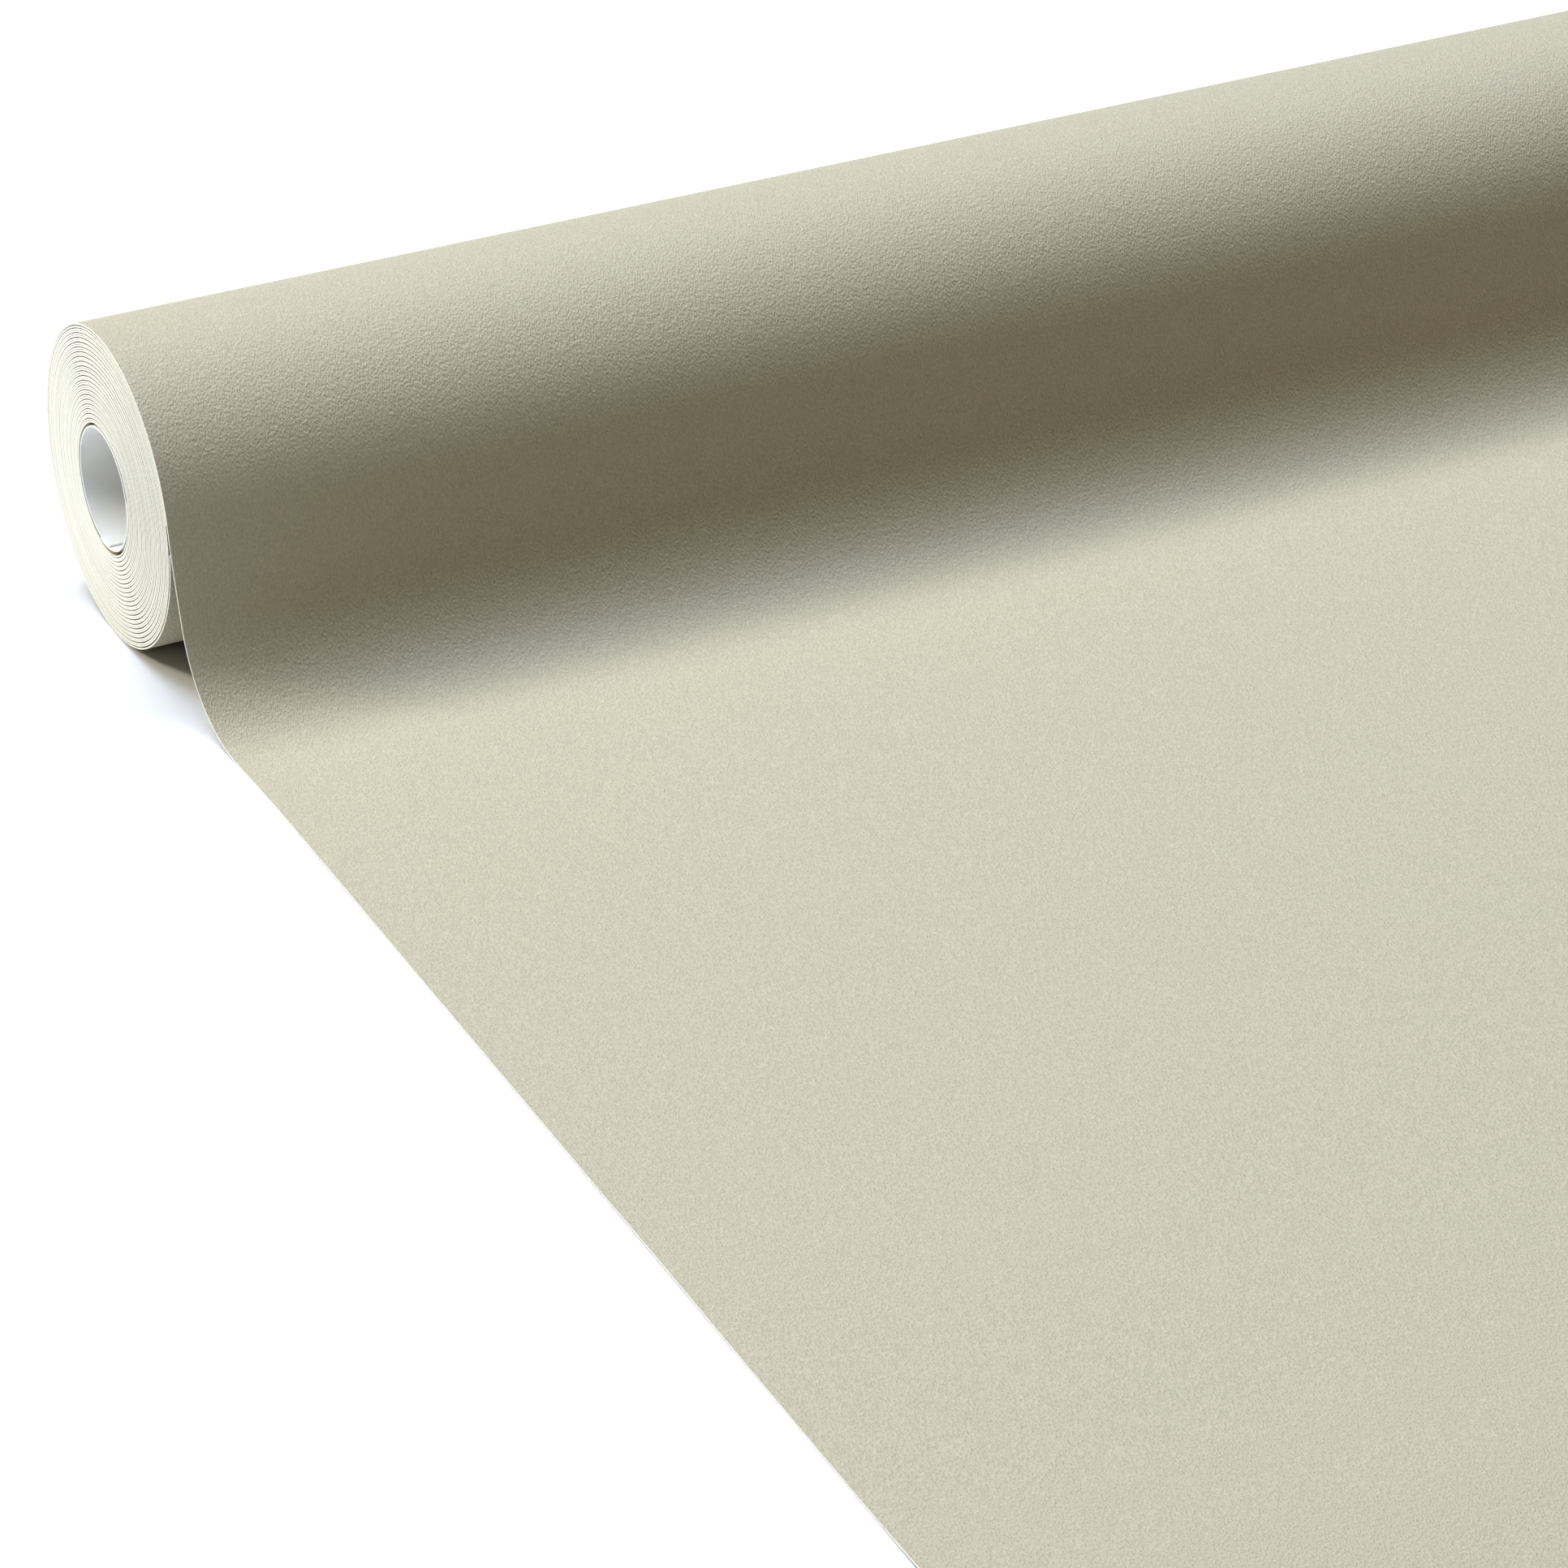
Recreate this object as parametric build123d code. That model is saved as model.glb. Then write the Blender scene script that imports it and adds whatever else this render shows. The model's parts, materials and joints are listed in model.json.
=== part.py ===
"""Backdrop paper roll, partly unrolled on a floor.

One long paper web is wound on a thin core liner. Its outermost lap comes over the top, hangs down the
front, turns out along the floor and ends in a flat free sheet. The web is divided only where stretches
of it move differently: the wound web turns with the core, the outermost lap and the stretch that leads
it to the floor keep their shape, and the free sheet is pulled forward.

Frame: the origin is on the bore's axis at mid-length. +X runs along the axis, +Z is up and the sheet is
pulled off towards -Y. Sections are drawn in Y and Z, with angles from +Y towards +Z, so that the front
of the roll is at 180 degrees and its top at 90. The laps lie slacker in front of the core, so the outer
laps are centred a little forward of and above the bore.
"""
from build123d import *
from math import cos, radians, sin, tan
import os

# Driving dimensions, in millimetres and degrees
web_width = 530.0  # the paper web's width, along the bore's axis
roll_radius = 35.0  # from the outer laps' centre to the floor under the roll
outer_centre = Vector(-2.5, 1.4)  # of the outer laps, in the section
bore_radius = 13.0  # inside of the core liner
paper = 0.38  # thickness of the embossed paper
lap_pitch = 0.50  # radial step from one lap to the next: the paper and the air wound in with it
spin_clearance = 0.35  # least gap between the turning web and the outermost lap
first_lap_radius = 14.20  # inside of the first lap of paper, over the liner's seam and its tape
depart_angle = 168.0  # where the web leaves the roll: 12 degrees above the front
toe_radius = 26.0  # bend of the printed face where the hanging web turns out along the floor
toe_end_y = -72.0  # front end of the stretch that keeps its shape
sheet_gap = 0.3  # gap between that stretch and the pulled sheet
sheet_end_y = -430.0  # cut end of the free sheet

# Core liner: a strip of thin card rolled once round, whose outer end lies over its inner end
liner_card = 0.40
liner_seam_angle = 262.0  # inner end of the card, just in front of the lowest line of the bore
liner_climb = 80.0  # arc before the seam over which the card climbs away from the bore
liner_overlap = 20.0  # arc over which the card's outer end lies over its inner end
liner_climb_radius = bore_radius + 0.55  # inside of the card along that climb and overlap

# Double-sided tape on the card's outer end, which holds the beginning of the web
tape_thickness = 0.12
tape_arc = 50.0

# Values that follow from these
half_step = lap_pitch / 2
quarter_step = lap_pitch / 4
floor_z = outer_centre.Y - roll_radius
toe_turn = depart_angle - 90  # the web turns through this angle to lie flat on the floor
liner_climb_angle = liner_seam_angle + 360 - liner_climb  # where the card begins to climb


def direction(angle):
    """Unit vector in the section at an angle from +Y towards +Z."""
    return Vector(cos(radians(angle)), sin(radians(angle)))


def arc_about(centre, radius, start, size):
    """Arc of a section about a centre, from a start angle through a signed size in degrees."""
    return CenterArc((centre.X, centre.Y), radius, start, size)


def band(inner, outer):
    """Face between two open rows of edges that run the same way, closed by a straight line at each end."""
    ends = [Line(inner[0] @ 0, outer[0] @ 0), Line(inner[-1] @ 1, outer[-1] @ 1)]
    return make_face([*inner, *outer, *ends])


def across(section):
    """Extrude a section over the whole width of the web."""
    return extrude(Plane.YZ * section, amount=web_width / 2, both=True)


def lap(centre, radius):
    """One lap of a two-centre spiral: a lower and an upper half turn that meet without a corner.

    The lap begins and ends at depart_angle. Its two centres lie a quarter of the lap step either side of
    the given one, and the upper half turn's radius is half a lap step larger.
    """
    lower_centre = centre - direction(depart_angle) * quarter_step
    upper_centre = centre + direction(depart_angle) * quarter_step
    return [
        arc_about(lower_centre, radius, depart_angle, 180),
        arc_about(upper_centre, radius + half_step, depart_angle + 180, 180),
    ]


def wound_web():
    """Solid between the inner face of the first lap, round the core, and the outer face of the last."""
    faces = []
    for centre, radius in ((Vector(0, 0), first_lap_radius), (outer_centre, wound_outer_radius)):
        edges = lap(centre, radius)
        step = Line(edges[-1] @ 1, edges[0] @ 0)
        faces.append(make_face([*edges, step]))
    return across(faces[1] - faces[0])


def climbing_arc(depth, start, size):
    """Arc at a depth outside the card's climbing inner face; start is counted from where it climbs."""
    centre = direction(liner_climb_angle) * (bore_radius - liner_climb_radius)
    return arc_about(centre, liner_climb_radius + depth, liner_climb_angle + start, size)


def core_liner():
    """Card liner with a lap seam: round at the bore, with its outer end over its inner end."""
    surfaces = []
    for depth in (0, liner_card):
        round_arc = arc_about(
            Vector(0, 0), bore_radius + depth, liner_seam_angle, 360 - liner_climb
        )
        surfaces.append([round_arc, climbing_arc(depth, 0, liner_climb + liner_overlap)])
    return across(band(*surfaces))


def start_tape():
    """Strip of tape on the card's outer end, under the beginning of the web."""
    start = liner_climb + liner_overlap - tape_arc
    surfaces = []
    for depth in (liner_card, liner_card + tape_thickness):
        surfaces.append([climbing_arc(depth, start, tape_arc)])
    return across(band(*surfaces))


def lead_out():
    """Stretch of web from the roll to the floor: a straight hang, a bend and a short flat end."""
    leaving = direction(depart_angle)
    leave_point = outer_centre + leaving * (outer_lap_radius + half_step + quarter_step)
    flat_z = floor_z + paper
    hang_slope = tan(radians(depart_angle - 90))
    floor_meet_y = leave_point.X - (leave_point.Y - flat_z) / hang_slope
    bend_y = floor_meet_y - toe_radius * tan(radians(toe_turn / 2))
    bend_centre = Vector(bend_y, flat_z + toe_radius)
    surfaces = []
    for depth in (0, paper):
        bend = arc_about(bend_centre, toe_radius + depth, depart_angle + 180, -toe_turn)
        hang = Line(leave_point - leaving * depth, bend @ 0)
        flat = Line(bend @ 1, Vector(toe_end_y, flat_z - depth))
        surfaces.append([hang, bend, flat])
    return across(band(*surfaces))


def free_sheet():
    """Flat part of the web, from the standing stretch to the cut end."""
    start_y = toe_end_y - sheet_gap
    section = Polyline(
        (start_y, floor_z),
        (sheet_end_y, floor_z),
        (sheet_end_y, floor_z + paper),
        (start_y, floor_z + paper),
        close=True,
    )
    return across(make_face(section))


# The outermost lap's lower half just reaches the floor; the wound web ends clear of it all round
outer_lap_radius = roll_radius - quarter_step * direction(depart_angle).Y
outer_lap_inside = outer_lap_radius - paper
wound_outer_radius = outer_lap_inside - 2 * quarter_step - half_step - spin_clearance

nodes = {
    "core_liner": core_liner(),
    "start_tape": start_tape(),
    "wound_web": wound_web(),
    "outer_lap": across(band(lap(outer_centre, outer_lap_inside), lap(outer_centre, outer_lap_radius))),
    "lead_out": lead_out(),
    "free_sheet": free_sheet(),
}

os.makedirs("parts", exist_ok=True)
for name, solid in nodes.items():
    solid.label = name
    export_step(solid, f"parts/{name}.step")
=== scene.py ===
"""Looks of the partly unrolled backdrop paper roll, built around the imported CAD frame.

Everything is in metres in the CAD frame: +X along the bore, +Z up, the sheet runs off towards -Y.
Angles in the section are counted from +Y towards +Z, so the roll's front is at 180 degrees.
"""
import json
import math

import bpy
import numpy as np
from mathutils import Matrix, Vector


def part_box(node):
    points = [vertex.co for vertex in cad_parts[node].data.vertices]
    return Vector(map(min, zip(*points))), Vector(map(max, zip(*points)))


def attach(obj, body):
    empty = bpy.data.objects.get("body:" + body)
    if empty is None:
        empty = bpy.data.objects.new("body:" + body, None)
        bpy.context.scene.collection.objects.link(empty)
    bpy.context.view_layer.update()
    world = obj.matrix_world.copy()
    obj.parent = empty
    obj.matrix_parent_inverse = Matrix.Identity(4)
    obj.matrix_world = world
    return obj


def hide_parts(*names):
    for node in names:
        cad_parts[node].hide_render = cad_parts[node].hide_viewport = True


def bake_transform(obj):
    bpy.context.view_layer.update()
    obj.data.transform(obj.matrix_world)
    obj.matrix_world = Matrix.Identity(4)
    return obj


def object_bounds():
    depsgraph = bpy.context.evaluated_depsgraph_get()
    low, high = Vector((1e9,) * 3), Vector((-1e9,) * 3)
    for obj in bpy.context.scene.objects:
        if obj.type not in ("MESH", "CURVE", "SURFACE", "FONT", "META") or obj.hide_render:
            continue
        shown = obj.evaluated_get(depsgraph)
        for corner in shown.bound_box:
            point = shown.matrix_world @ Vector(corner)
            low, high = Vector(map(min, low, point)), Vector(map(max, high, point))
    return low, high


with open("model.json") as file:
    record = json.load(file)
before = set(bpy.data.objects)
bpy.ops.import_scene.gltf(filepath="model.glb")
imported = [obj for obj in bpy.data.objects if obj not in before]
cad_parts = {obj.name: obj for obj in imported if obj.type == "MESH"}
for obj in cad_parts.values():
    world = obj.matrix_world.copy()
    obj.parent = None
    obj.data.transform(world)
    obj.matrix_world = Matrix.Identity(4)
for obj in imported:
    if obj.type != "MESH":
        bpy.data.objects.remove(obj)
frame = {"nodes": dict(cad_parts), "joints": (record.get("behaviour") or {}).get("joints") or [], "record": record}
cad_low, cad_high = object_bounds()

# ---------------------------------------------------------------- sizes, from the frame
MM = 0.001
TURN = 2 * math.pi
lap_low, lap_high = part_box("outer_lap")
toe_low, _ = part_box("lead_out")
sheet_low, sheet_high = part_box("free_sheet")
mounts = {mount["name"]: mount for mount in frame["record"]["mounts"]}
joints = {joint["name"]: joint for joint in frame["joints"]}

HALF_WIDTH = lap_high.x
FLOOR = cad_low.z
CENTRE = np.array(joints["roll_spin"]["pos_m"][1:])  # of the outer laps, in y and z; the bore is at 0, 0
BORE_RADIUS = mounts["core_bore"]["dims"]["r_mm"] * MM
PAPER = sheet_high.z - sheet_low.z  # thickness of the web
LAP_PITCH = 0.50 * MM  # radial step from one lap to the next
DEPART = math.radians(168)  # where the web leaves the roll
FREE_LAP_DEPTH = 0.82 * MM  # from the top of the CAD's outermost lap down to the wound paper
WOUND_RADIUS = lap_high.z - CENTRE[1] - FREE_LAP_DEPTH  # outside of the wound paper
LINER_CARD = 0.40 * MM  # thickness of the core liner


def direction(angle):
    """Unit vector (y, z) of the section at an angle, for one angle or many."""
    return np.stack([np.cos(angle), np.sin(angle)], axis=-1)


def wobble(phase, waves):
    """Smooth aimless variation between -1 and 1 along a phase, from (rate, shift) waves."""
    return sum(np.sin(phase * rate + shift) for rate, shift in waves) / len(waves)


def ease(share):
    """Smooth step from 0 to 1 as a share goes from 0 to 1."""
    share = np.clip(share, 0, 1)
    return share * share * (3 - 2 * share)


def step_lengths(path):
    """Distance from each point of a path to the next."""
    return np.linalg.norm(np.diff(path, axis=0), axis=1)


def new_object(name, data):
    """Object that holds the given mesh, light or camera, linked into the scene."""
    made = bpy.data.objects.new(name, data)
    bpy.context.scene.collection.objects.link(made)
    return made


# ---------------------------------------------------------------- materials
class Paint:
    """A Principled material under construction, with short calls for its procedural nodes."""

    def __init__(self, name, roughness, specular=0.5):
        self.material = bpy.data.materials.new(name)
        self.material.use_nodes = True
        self.tree = self.material.node_tree
        self.shader = self.tree.nodes["Principled BSDF"]
        self.shader.inputs["Roughness"].default_value = roughness
        self.shader.inputs["Specular IOR Level"].default_value = specular
        self.place = self.add("ShaderNodeTexCoord").outputs["Object"]

    def add(self, kind, **settings):
        """New node of a kind, with its settings."""
        made = self.tree.nodes.new(kind)
        for name, value in settings.items():
            setattr(made, name, value)
        return made

    def link(self, source, target):
        """Wire an output to an input."""
        self.tree.links.new(source, target)

    def noise(self, period, detail=2.0, roughness=0.5, stretch=(1, 1, 1)):
        """Noise whose features are about period metres across, stretched along the axes."""
        scaled = self.add("ShaderNodeVectorMath", operation="MULTIPLY")
        scaled.inputs[1].default_value = [1 / (period * s) for s in stretch]
        self.link(self.place, scaled.inputs[0])
        made = self.add("ShaderNodeTexNoise")
        made.inputs["Scale"].default_value = 1.0
        made.inputs["Detail"].default_value = detail
        made.inputs["Roughness"].default_value = roughness
        self.link(scaled.outputs[0], made.inputs["Vector"])
        return made.outputs["Fac"]

    def math(self, operation, first, second):
        """Sum, product or the like of two values, each a number or an output."""
        made = self.add("ShaderNodeMath", operation=operation)
        for slot, value in zip(made.inputs, (first, second)):
            if isinstance(value, (int, float)):
                slot.default_value = value
            else:
                self.link(value, slot)
        return made.outputs[0]

    def ramp(self, factor, stops):
        """Colour ramp through (position, colour) stops."""
        made = self.add("ShaderNodeValToRGB")
        for element, (position, colour) in zip(made.color_ramp.elements, stops):
            element.position = position
            element.color = (*colour, 1)
        self.link(factor, made.inputs["Fac"])
        return made.outputs["Color"]

    def mix(self, factor, first, second):
        """Mixture of two colours, each given or an output, by a factor, which may be a number."""
        made = self.add("ShaderNodeMix", data_type="RGBA")
        if isinstance(factor, (int, float)):
            made.inputs["Factor"].default_value = factor
        else:
            self.link(factor, made.inputs["Factor"])
        for slot, value in ((made.inputs[6], first), (made.inputs[7], second)):
            if isinstance(value, tuple):
                slot.default_value = (*value, 1)
            else:
                self.link(value, slot)
        return made.outputs[2]

    def spread(self, factor, low, high):
        """Map a 0 to 1 factor to a range."""
        made = self.add("ShaderNodeMapRange")
        made.inputs["To Min"].default_value = low
        made.inputs["To Max"].default_value = high
        self.link(factor, made.inputs["Value"])
        return made.outputs[0]

    def colour(self, source):
        """Take the base colour from an output."""
        self.link(source, self.shader.inputs["Base Color"])

    def roughness(self, source):
        """Take the roughness from an output."""
        self.link(source, self.shader.inputs["Roughness"])

    def bump(self, height, depth, strength=1.0):
        """Fine relief of a depth in metres, from a 0 to 1 height."""
        made = self.add("ShaderNodeBump")
        made.inputs["Strength"].default_value = strength
        made.inputs["Distance"].default_value = depth
        self.link(height, made.inputs["Height"])
        self.link(made.outputs[0], self.shader.inputs["Normal"])


def embossed_face():
    """Printed face: greige, with a fine rounded grain drawn out a little along the web."""
    paint = Paint("embossed_greige_face", 0.62, specular=0.3)
    drawn_out = (0.7, 1.4, 1.4)
    grain = paint.noise(0.46 * MM, detail=1.0, roughness=0.4, stretch=drawn_out)
    fine = paint.noise(0.27 * MM, detail=2.0, roughness=0.6, stretch=drawn_out)
    broad = paint.noise(60 * MM, detail=2.0)
    fine_share = 0.25
    height = paint.math("ADD", grain, paint.math("MULTIPLY", fine, fine_share))
    tone = paint.ramp(grain, [(0.3, (0.405, 0.362, 0.264)), (0.7, (0.577, 0.516, 0.374))])
    warm = paint.ramp(broad, [(0.35, (0.494, 0.440, 0.318)), (0.65, (0.488, 0.440, 0.322))])
    paint.colour(paint.mix(0.5, tone, warm))
    paint.roughness(paint.spread(fine, 0.54, 0.72))
    paint.bump(height, 0.30 * MM)
    return paint.material


def paper_back():
    """Unprinted back of the web: base paper a little paler than its face, with faint fibres."""
    paint = Paint("paper_back", 0.8, specular=0.3)
    fibres = paint.noise(1.2 * MM, detail=4.0, stretch=(3, 1, 1))
    paint.colour(paint.ramp(fibres, [(0.3, (0.58, 0.54, 0.42)), (0.7, (0.64, 0.60, 0.48))]))
    paint.roughness(paint.spread(fibres, 0.74, 0.88))
    paint.bump(fibres, 0.03 * MM, 0.5)
    return paint.material


def cut_edge():
    """Cut edge of the web: cream paper core with a soft fibrous tooth."""
    paint = Paint("cream_cut_edge", 0.85, specular=0.25)
    tooth = paint.noise(0.25 * MM, detail=3.0, roughness=0.65)
    patches = paint.noise(14 * MM, detail=2.0)
    fibres = paint.ramp(tooth, [(0.25, (0.86, 0.83, 0.71)), (0.75, (0.92, 0.90, 0.80))])
    paint.colour(paint.mix(patches, fibres, (0.90, 0.88, 0.77)))
    paint.bump(tooth, 0.03 * MM, 0.6)
    return paint.material


def liner_card():
    """Smooth white card of the core liner."""
    paint = Paint("white_liner_card", 0.55, specular=0.4)
    clouds = paint.noise(5 * MM, detail=4.0)
    grit = paint.noise(0.5 * MM, detail=2.0)
    paint.colour(paint.ramp(clouds, [(0.3, (0.86, 0.85, 0.80)), (0.7, (0.91, 0.90, 0.86))]))
    paint.roughness(paint.spread(grit, 0.48, 0.62))
    paint.bump(grit, 0.02 * MM, 0.4)
    return paint.material


def tape_film():
    """Cream crepe tape under the beginning of the web."""
    paint = Paint("cream_crepe_tape", 0.6)
    crepe = paint.noise(0.8 * MM, detail=3.0, stretch=(1, 5, 5))
    paint.colour(paint.ramp(crepe, [(0.3, (0.72, 0.66, 0.48)), (0.7, (0.80, 0.75, 0.58))]))
    paint.bump(crepe, 0.06 * MM, 0.7)
    return paint.material


def floor_surface():
    """Plain white table or floor."""
    paint = Paint("studio_floor", 0.9, specular=0.1)
    dust = paint.noise(40 * MM, detail=3.0)
    paint.colour(paint.ramp(dust, [(0.3, (0.87, 0.87, 0.87)), (0.7, (0.89, 0.89, 0.89))]))
    return paint.material


# ---------------------------------------------------------------- paper as a swept strip
FACE, BACK, EDGE = range(3)  # material slots of a strip
EDGE_CHAMFER = 0.05 * MM
CHAMFER_DEPTH = 0.15  # share of the thickness that the chamfer takes from either face
CREASE = math.radians(40)  # faces that meet at more than this are shaded with a sharp edge


def outward(points):
    """Unit normals on the printed side of a section path that winds from +Y towards +Z."""
    along = np.gradient(points, axis=0)
    along /= np.linalg.norm(along, axis=1)[:, None]
    return np.stack([along[:, 1], -along[:, 0]], axis=1)


def even_columns(count):
    """Even x positions over the whole width of the web."""
    return np.linspace(-HALF_WIDTH, HALF_WIDTH, count)


def strip_points(path, thickness, columns, ends, lift, chamfer):
    """Points of a strip, in one ring at each station.

    A ring runs along the printed face, down the right cut edge, back along the other face and up the
    left cut edge.
    """
    count = len(columns)
    left, right = np.zeros((2, len(path))) if ends is None else ends
    share = (columns - columns[0]) / (columns[-1] - columns[0])
    face_x = columns[None, :] + left[:, None] * (1 - share) - right[:, None] * share
    left_edge, right_edge = face_x[:, :1], face_x[:, -1:]
    inset = face_x.copy()
    inset[:, 0] += chamfer
    inset[:, -1] -= chamfer
    ring_x = np.hstack([inset, right_edge, right_edge, inset[:, ::-1], left_edge, left_edge])
    near, far = CHAMFER_DEPTH * thickness, (1 - CHAMFER_DEPTH) * thickness
    depth = np.concatenate([np.zeros(count), [near, far], np.full(count, thickness), [far, near]])
    section = path[:, None, :] - outward(path)[:, None, :] * depth[None, :, None]
    points = np.concatenate([ring_x[:, :, None], section], axis=2)
    if lift is not None:
        points[:, :, 2] += lift(ring_x, np.arange(len(path))[:, None])
    return points


def strip_faces(stations, count):
    """Faces between a strip's rings and over its two ends, and the material slot of each."""
    around = 2 * count + 4
    ring_kinds = [FACE] * (count - 1) + [EDGE] * 3 + [BACK] * (count - 1) + [EDGE] * 3
    faces, kinds = [], []
    for station in range(stations - 1):
        here, there = station * around, (station + 1) * around
        for step in range(around):
            after = (step + 1) % around
            faces.append((here + step, there + step, there + after, here + after))
            kinds.append(ring_kinds[step])
    for start, flip in ((0, False), ((stations - 1) * around, True)):
        rim = range(start, start + around)
        cap = [
            (rim[step], rim[step + 1], rim[2 * count - step], rim[2 * count + 1 - step])
            for step in range(count - 1)
        ]
        cap.append((rim[count - 1], rim[count], rim[count + 1], rim[count + 2]))
        cap.append((rim[2 * count + 1], rim[2 * count + 2], rim[2 * count + 3], rim[0]))
        faces += [quad[::-1] if flip else quad for quad in cap]
        kinds += [EDGE] * len(cap)
    return faces, kinds


def strip(name, path, thickness, columns, materials, ends=None, lift=None, chamfer=EDGE_CHAMFER):
    """Sheet of paper or card swept along a section path, with its outer face on the path.

    columns are the x positions across the web. ends gives how far the left and right cut edges stand
    back at each station. lift(x, station) moves the sheet along +Z. Both cut edges have a small chamfer.
    """
    points = strip_points(path, thickness, columns, ends, lift, chamfer)
    faces, kinds = strip_faces(len(path), len(columns))
    mesh = bpy.data.meshes.new(name)
    mesh.from_pydata(points.reshape(-1, 3).tolist(), [], faces)
    for material in materials:
        mesh.materials.append(material)
    mesh.polygons.foreach_set("material_index", kinds)
    mesh.polygons.foreach_set("use_smooth", [True] * len(faces))
    mesh.update()
    mesh.set_sharp_from_angle(angle=CREASE)
    return new_object(name, mesh)


# ---------------------------------------------------------------- the free web
LAP_STATIONS = 190  # stations over the roll, then down the hang, round the bend and along the floor
HANG_STATIONS = 14
TOE_STATIONS = 160
FLAT_STATIONS = 130
WEB_COLUMNS = 81

LAP_START = math.radians(179)  # just past the departing web, where the free lap comes off the roll
LAP_GAPS = (  # degrees, and millimetres of air there between the free lap and the roll
    (179, 0.04), (225, 0.06), (270, 0.10), (330, 0.06),
    (390, 0.06), (435, 0.22), (480, 0.10), (528, 0.10),
)
GAP_SMOOTHING = 8  # stations to either side over which that gap is averaged

TOE_LENGTH = 41 * MM  # of the bend from the hang to the floor
TOE_EASE = (0.17, 0.24)  # shares of that length over which the bend starts and ends

DRIFT = 2.4 * MM  # the web strays towards +X on its way from the roll to the floor
DRIFT_LENGTH = 80 * MM

RIPPLE = 0.10 * MM  # the flat sheet isn't quite flat
RIPPLE_START = 30 * MM  # distance past the bend over which the ripple sets in
RIPPLE_ACROSS = 190 * MM
RIPPLE_ALONG = 110 * MM
RIPPLE_WAVES = ((3.1, 0.4), (5.3, 2.2), (8.9, 4.0))

ARCH_HEIGHT = 1.2 * MM  # the free end keeps a little of the roll's curl, so it arches off the floor
ARCH_LENGTH = 90 * MM
ARCH_VARIATION = 0.25  # share by which the arch's height varies across the web
ARCH_ACROSS = 130 * MM


def toe_path():
    """The bend from the hanging direction to flat, starting at (0, 0)."""
    share = (np.arange(TOE_STATIONS) + 0.5) / TOE_STATIONS
    curvature = np.minimum(1, np.minimum(share / TOE_EASE[0], (1 - share) / TOE_EASE[1]))
    turned = np.cumsum(curvature) / curvature.sum() * (DEPART - math.pi / 2)
    heading = DEPART + math.pi / 2 - turned
    return np.cumsum(direction(heading), axis=0) * TOE_LENGTH / TOE_STATIONS


def free_lap():
    """The lap of free web that lies over the roll, with a little air under it."""
    angles = np.linspace(LAP_START, DEPART + TURN, LAP_STATIONS)
    knots, gaps = np.array(LAP_GAPS).T
    gap = np.interp(angles, np.radians(knots), gaps * MM)
    window = 2 * GAP_SMOOTHING + 1
    gap = np.convolve(np.pad(gap, GAP_SMOOTHING, mode="edge"), np.ones(window) / window, mode="valid")
    return CENTRE + direction(angles) * (WOUND_RADIUS + PAPER + gap)[:, None]


def sheet_path():
    """Printed face of the free web: one lap over the roll, the hang, the bend and the flat sheet.

    Returns the path and how far each of its points lies beyond the line where the web leaves the roll.
    """
    lap = free_lap()
    toe = toe_path()
    flat_z = FLOOR + PAPER
    hang = direction(DEPART + math.pi / 2)
    hang_length = (lap[-1, 1] - flat_z + toe[-1, 1]) / -hang[1]
    steps = np.linspace(0, hang_length, HANG_STATIONS)[1:, None]
    down = lap[-1] + hang * steps
    bend = down[-1] + toe
    flat_y = np.linspace(bend[-1, 0], sheet_low.y, FLAT_STATIONS)[1:]
    flat = np.stack([flat_y, np.full(len(flat_y), flat_z)], axis=1)
    path = np.vstack([lap, down, bend[:-1], [[bend[-1, 0], flat_z]], flat])
    run = np.concatenate([[0], np.cumsum(step_lengths(path))])
    return path, run - run[len(lap) - 1]


def backdrop_sheet(materials):
    """The web from under the departing line, over the roll and out along the floor to its cut end."""
    path, beyond_roll = sheet_path()
    y = path[:, 0]
    on_floor = path[:, 1] < FLOOR + 2 * PAPER
    rippled = np.clip((toe_low.y - y) / RIPPLE_START, 0, 1) * on_floor
    from_end = np.clip((y - sheet_low.y) / ARCH_LENGTH, 0, 1)
    arch = ARCH_HEIGHT * np.sin(math.pi * from_end) ** 2 * (from_end < 1)

    def lift(x, station):
        wave = 1 + wobble(x / RIPPLE_ACROSS + y[station] / RIPPLE_ALONG, RIPPLE_WAVES)
        arched = arch[station] * (1 + ARCH_VARIATION * np.sin(x / ARCH_ACROSS))
        return rippled[station] * RIPPLE * wave + arched

    strayed = DRIFT * ease(beyond_roll / DRIFT_LENGTH)
    drift = (strayed, -strayed)
    columns = even_columns(WEB_COLUMNS)
    piece = strip("backdrop_sheet", path, PAPER, columns, materials, ends=drift, lift=lift)
    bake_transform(piece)
    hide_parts("outer_lap", "lead_out", "free_sheet")
    return piece


# ---------------------------------------------------------------- the wound laps
TURN_STATIONS = 120
STRAIGHT_COLUMNS = 3  # enough for a piece that is straight from end to end
LINER_GAP = 0.10 * MM  # air between the liner and the first lap
END_TURN = 60  # the spiral's angles count up to this many turns, which is more than it has

WOUND_SHAKE = 0.02 * MM  # how far laps wander from an even spiral
SHAKE_WAVES = ((0.37, 1.3), (0.83, 4.0), (1.31, 2.2), (2.9, 0.7))
PAIRING = 0.06 * MM  # laps lie together in twos where the roll has slackened, at its bottom and top
PAIRING_ANGLE = math.radians(266)
CLIMB_SHARE = 0.3  # of a turn, low at the front, in which each lap climbs over the one below
SEAM_SWELL = 0.72 * MM  # the first laps swell over the liner's seam and its tape
SWELL_ANGLE = math.radians(258)
SWELL_FOCUS = 3.2  # the larger, the shorter the arc of that swelling

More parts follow.
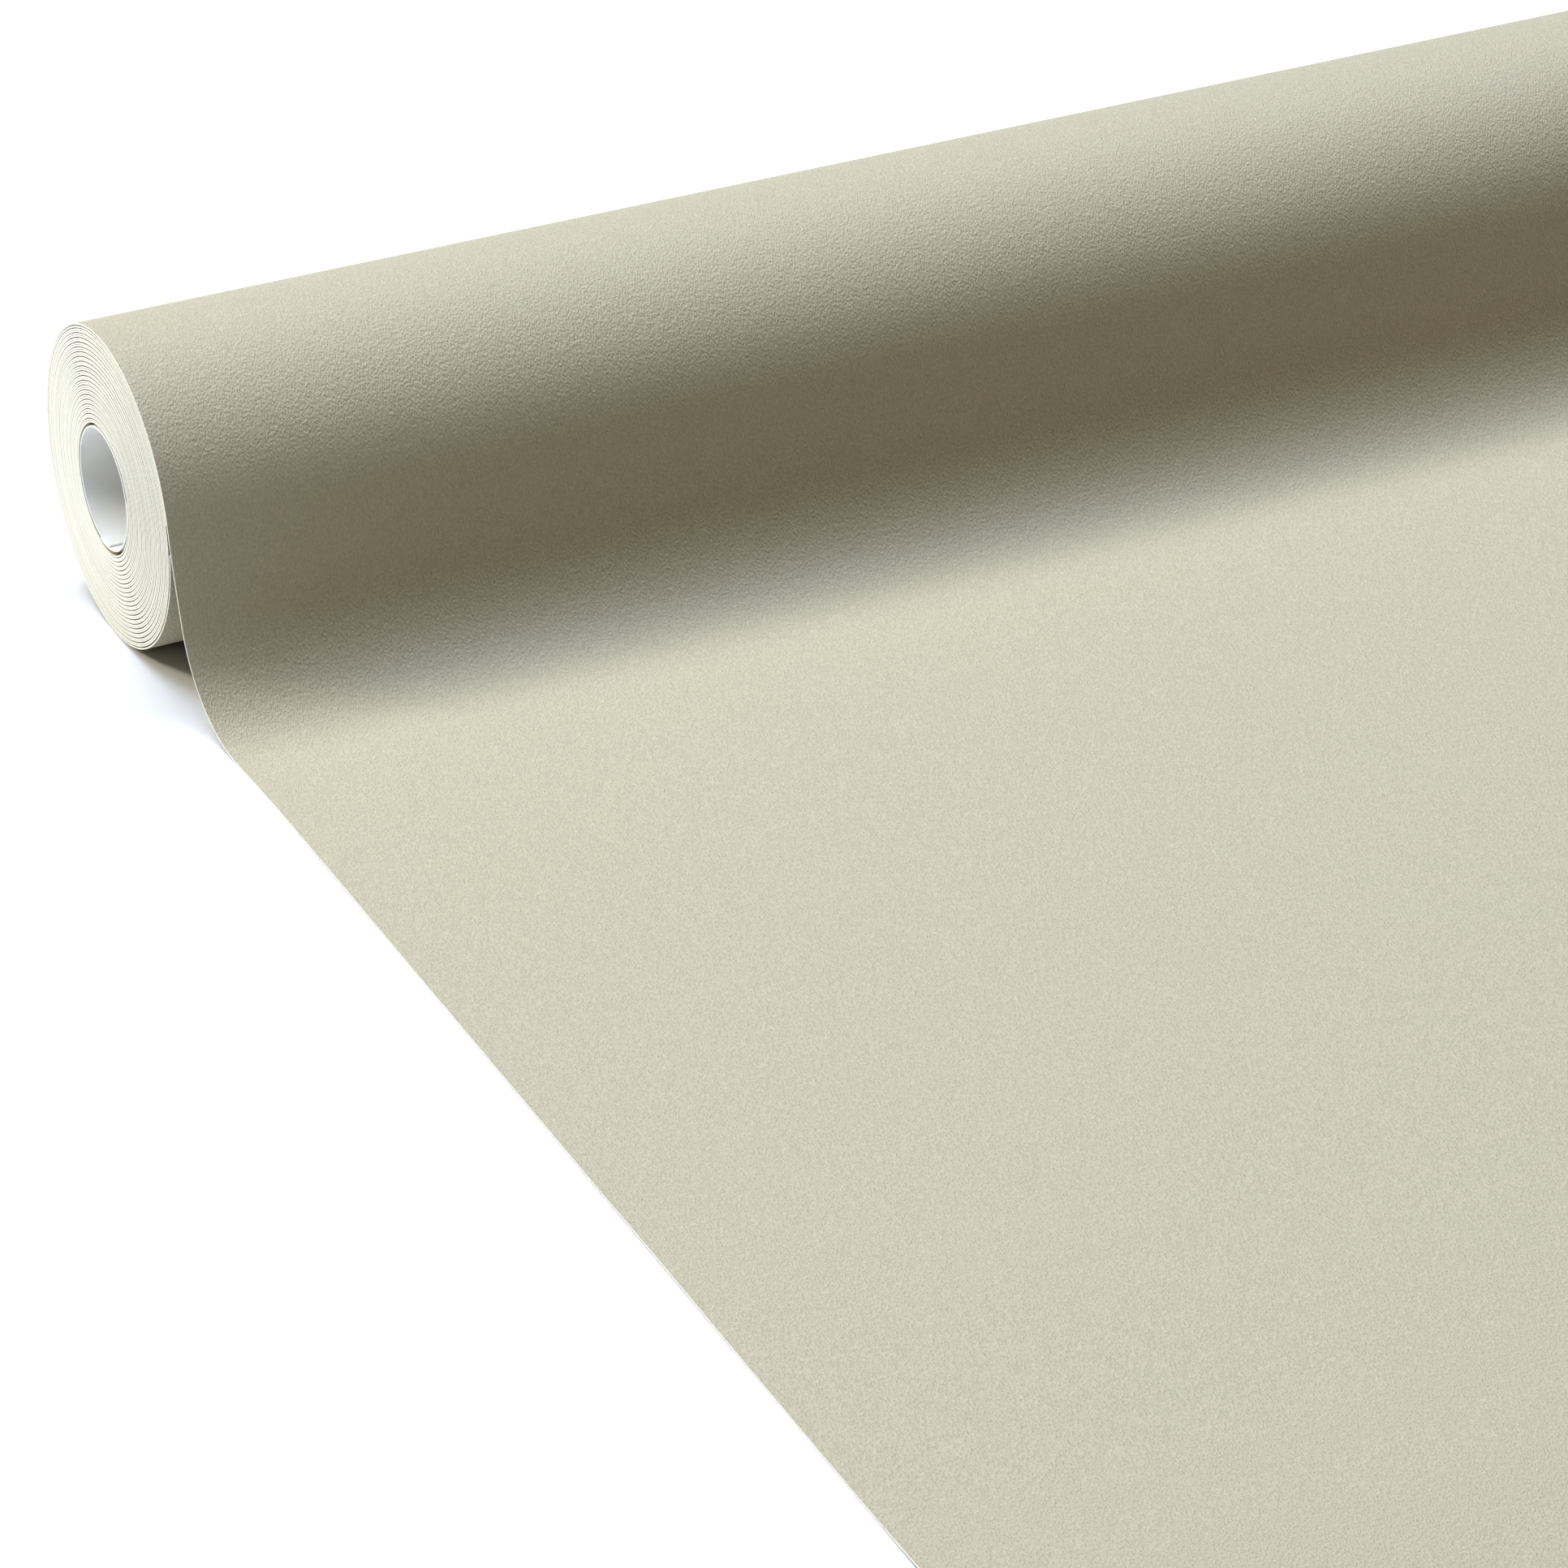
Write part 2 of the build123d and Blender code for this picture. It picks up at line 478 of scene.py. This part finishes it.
LAP_CHAMFER = 0.02 * MM  # finer than on the free web, so that the laps lie close at their cut edges
EDGE_WANDER = 0.07 * MM  # how far cut edges stand back, lap by lap
EDGE_WAVES = (
    ((0.21, 0.6), (0.47, 3.0), (1.93, 1.0)),
    ((0.26, 2.1), (0.53, 5.0), (1.71, 0.2)),
)


def spiral_path():
    """Printed face of the wound paper from the core outwards, and the angle at each of its points."""
    inner_radius = BORE_RADIUS + LINER_CARD + LINER_GAP + PAPER
    turns = math.floor((WOUND_RADIUS - inner_radius) / LAP_PITCH * 2) / 2
    end = DEPART + TURN * END_TURN
    angles = np.linspace(end - TURN * turns, end, int(turns * TURN_STATIONS))
    turns_back, share = np.divmod((end - angles) / TURN, 1)
    climbed = ease(1 - (1 - share) / CLIMB_SHARE)
    radii = WOUND_RADIUS - LAP_PITCH * (turns_back + climbed)
    slack = (angles - angles[0]) / (end - angles[0])
    calm = np.clip((end - angles) / TURN, 0, 1)  # the last lap stays even, clear of the free web
    shake = wobble(angles, SHAKE_WAVES)
    from_pairing = angles - PAIRING_ANGLE
    in_or_out = np.cos(from_pairing / 2 + math.pi / 4)  # changes sign from each lap to the next
    pairs = in_or_out * (1 + np.cos(2 * from_pairing)) / 2
    swell = np.exp(SWELL_FOCUS * (np.cos(angles - SWELL_ANGLE) - 1)) * (1 - slack) ** 2
    radii = radii + calm * (WOUND_SHAKE * shake + PAIRING * pairs) + SEAM_SWELL * swell
    return CENTRE * slack[:, None] + direction(angles) * radii[:, None], angles


def wound_laps(materials):
    """The paper still on the core, as one spiral strip with air between its laps."""
    path, angles = spiral_path()
    ends = [EDGE_WANDER * (1 + wobble(angles, waves)) / 2 for waves in EDGE_WAVES]
    columns = even_columns(STRAIGHT_COLUMNS)
    piece = strip("wound_laps", path, PAPER, columns, materials, ends=ends, chamfer=LAP_CHAMFER)
    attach(piece, "roll")
    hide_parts("wound_web")
    return piece


# ---------------------------------------------------------------- the core liner and its tape
SEAM_ANGLE = math.radians(262)  # inner end of the card
LINER_CLIMB = math.radians(80)  # arc before the seam over which the card climbs away from the bore
LINER_OVERLAP = math.radians(20)  # arc over which the card's outer end lies over its inner end
CLIMB_RISE = 0.55 * MM  # what the card's radius gains for that climb
CLIMB_STEP = math.radians(2)  # from the round stretch's last station to the climb's first
ROUND_STATIONS = 160
CLIMB_STATIONS = 60


def liner(material):
    """Thin card liner whose outer end climbs over its inner end at a seam low in the bore."""
    climb_start = SEAM_ANGLE + TURN - LINER_CLIMB
    climb_centre = -CLIMB_RISE * direction(climb_start)
    round_angles = np.linspace(SEAM_ANGLE, climb_start, ROUND_STATIONS)
    climb_angles = climb_start + np.linspace(CLIMB_STEP, LINER_CLIMB + LINER_OVERLAP, CLIMB_STATIONS)
    outside = BORE_RADIUS + LINER_CARD
    climbing = climb_centre + direction(climb_angles) * (outside + CLIMB_RISE)
    path = np.vstack([direction(round_angles) * outside, climbing])
    columns = even_columns(STRAIGHT_COLUMNS)
    piece = strip("core_liner_tube", path, LINER_CARD, columns, [material] * 3)
    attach(piece, "roll")
    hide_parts("core_liner")
    return piece


def dress_tape(material):
    """Give the CAD's own tape its material; its shape stays."""
    tape = frame["nodes"]["start_tape"]
    tape.data.materials.clear()
    tape.data.materials.append(material)


# ---------------------------------------------------------------- stage, lights and camera
FLOOR_REACH = 6.0
FLOOR_GAP = 0.02 * MM  # below the object, so that the two faces don't coincide

COOL = (0.74, 0.83, 1.0)
WARM = (1.0, 0.94, 0.80)
AMBER = (1.0, 0.70, 0.05)

# The camera's turn from straight in front, its height and its tilt, in degrees
CAMERA_ANGLES = (-27.31, 30.83, 0.60)
# In outer radii of the roll: how far off the camera stands, and where it looks, to the right of the
# roll's left end and in front of its centre
CAMERA_DISTANCE = 35.375
TARGET_RIGHT = 2.824
TARGET_FORWARD = 3.373
LENS_MM = 139.75
SENSOR_MM = 36


def stage_floor(material):
    """Large plain floor just under the object."""
    corners = [
        (-FLOOR_REACH, -FLOOR_REACH),
        (FLOOR_REACH, -FLOOR_REACH),
        (FLOOR_REACH, FLOOR_REACH),
        (-FLOOR_REACH, FLOOR_REACH),
    ]
    mesh = bpy.data.meshes.new("studio_floor")
    mesh.from_pydata([(x, y, FLOOR - FLOOR_GAP) for x, y in corners], [], [(0, 1, 2, 3)])
    mesh.materials.append(material)
    floor = new_object("studio_floor", mesh)


def area_light(name, place, target, size, power, colour):
    """Soft box at a place, turned to a target, with its size in metres and its power in watts."""
    data = bpy.data.lights.new(name, "AREA")
    data.shape = "RECTANGLE"
    data.size, data.size_y = size
    data.energy = power
    data.color = colour
    lamp = new_object(name, data)
    lamp.location = place
    lamp.rotation_euler = (Vector(target) - Vector(place)).to_track_quat("-Z", "Y").to_euler()


def studio_lights():
    """Cool soft box overhead, a small warm key from the left and behind, a faint amber fill in front."""
    middle = (0.0, -0.1, 0.0)
    left_end = (-HALF_WIDTH, 0, 0)
    area_light("overhead_box", (0.1, 0.65, 3.0), middle, size=(4.4, 2.2), power=216, colour=COOL)
    area_light("left_key", (-1.6, 0.6, 1.2), left_end, size=(0.4, 0.4), power=20, colour=WARM)
    area_light("front_fill", (1.4, -1.4, 0.6), middle, size=(0.8, 0.8), power=3.5, colour=AMBER)
    world = bpy.data.worlds.new("dim_room")
    world.use_nodes = True
    background = world.node_tree.nodes["Background"]
    background.inputs["Color"].default_value = (1, 1, 1, 1)
    background.inputs["Strength"].default_value = 0.01
    bpy.context.scene.world = world


def camera():
    """Long lens from the front left, looking down on the left end of the roll and its sheet."""
    azimuth, elevation, tilt = (math.radians(angle) for angle in CAMERA_ANGLES)
    radius = (lap_high.z - lap_low.z) / 2
    target = Vector((
        -HALF_WIDTH + TARGET_RIGHT * radius,
        CENTRE[0] - TARGET_FORWARD * radius,
        FLOOR,
    ))
    back = Vector((
        math.sin(azimuth) * math.cos(elevation),
        -math.cos(azimuth) * math.cos(elevation),
        math.sin(elevation),
    ))
    data = bpy.data.cameras.new("camera")
    data.sensor_width = SENSOR_MM
    data.lens = LENS_MM
    data.clip_start = 0.01
    view = new_object("camera", data)
    place = Matrix.Translation(target + back * CAMERA_DISTANCE * radius)
    level = (-back).to_track_quat("-Z", "Y").to_matrix().to_4x4()
    view.matrix_world = place @ level @ Matrix.Rotation(tilt, 4, "Z")
    bpy.context.scene.camera = view


camera()
paper_materials = [embossed_face(), paper_back(), cut_edge()]
backdrop_sheet(paper_materials)
wound_laps(paper_materials)
liner(liner_card())
dress_tape(tape_film())
stage_floor(floor_surface())
studio_lights()
display = bpy.context.scene.view_settings
display.view_transform = "Standard"
display.gamma = 0.85
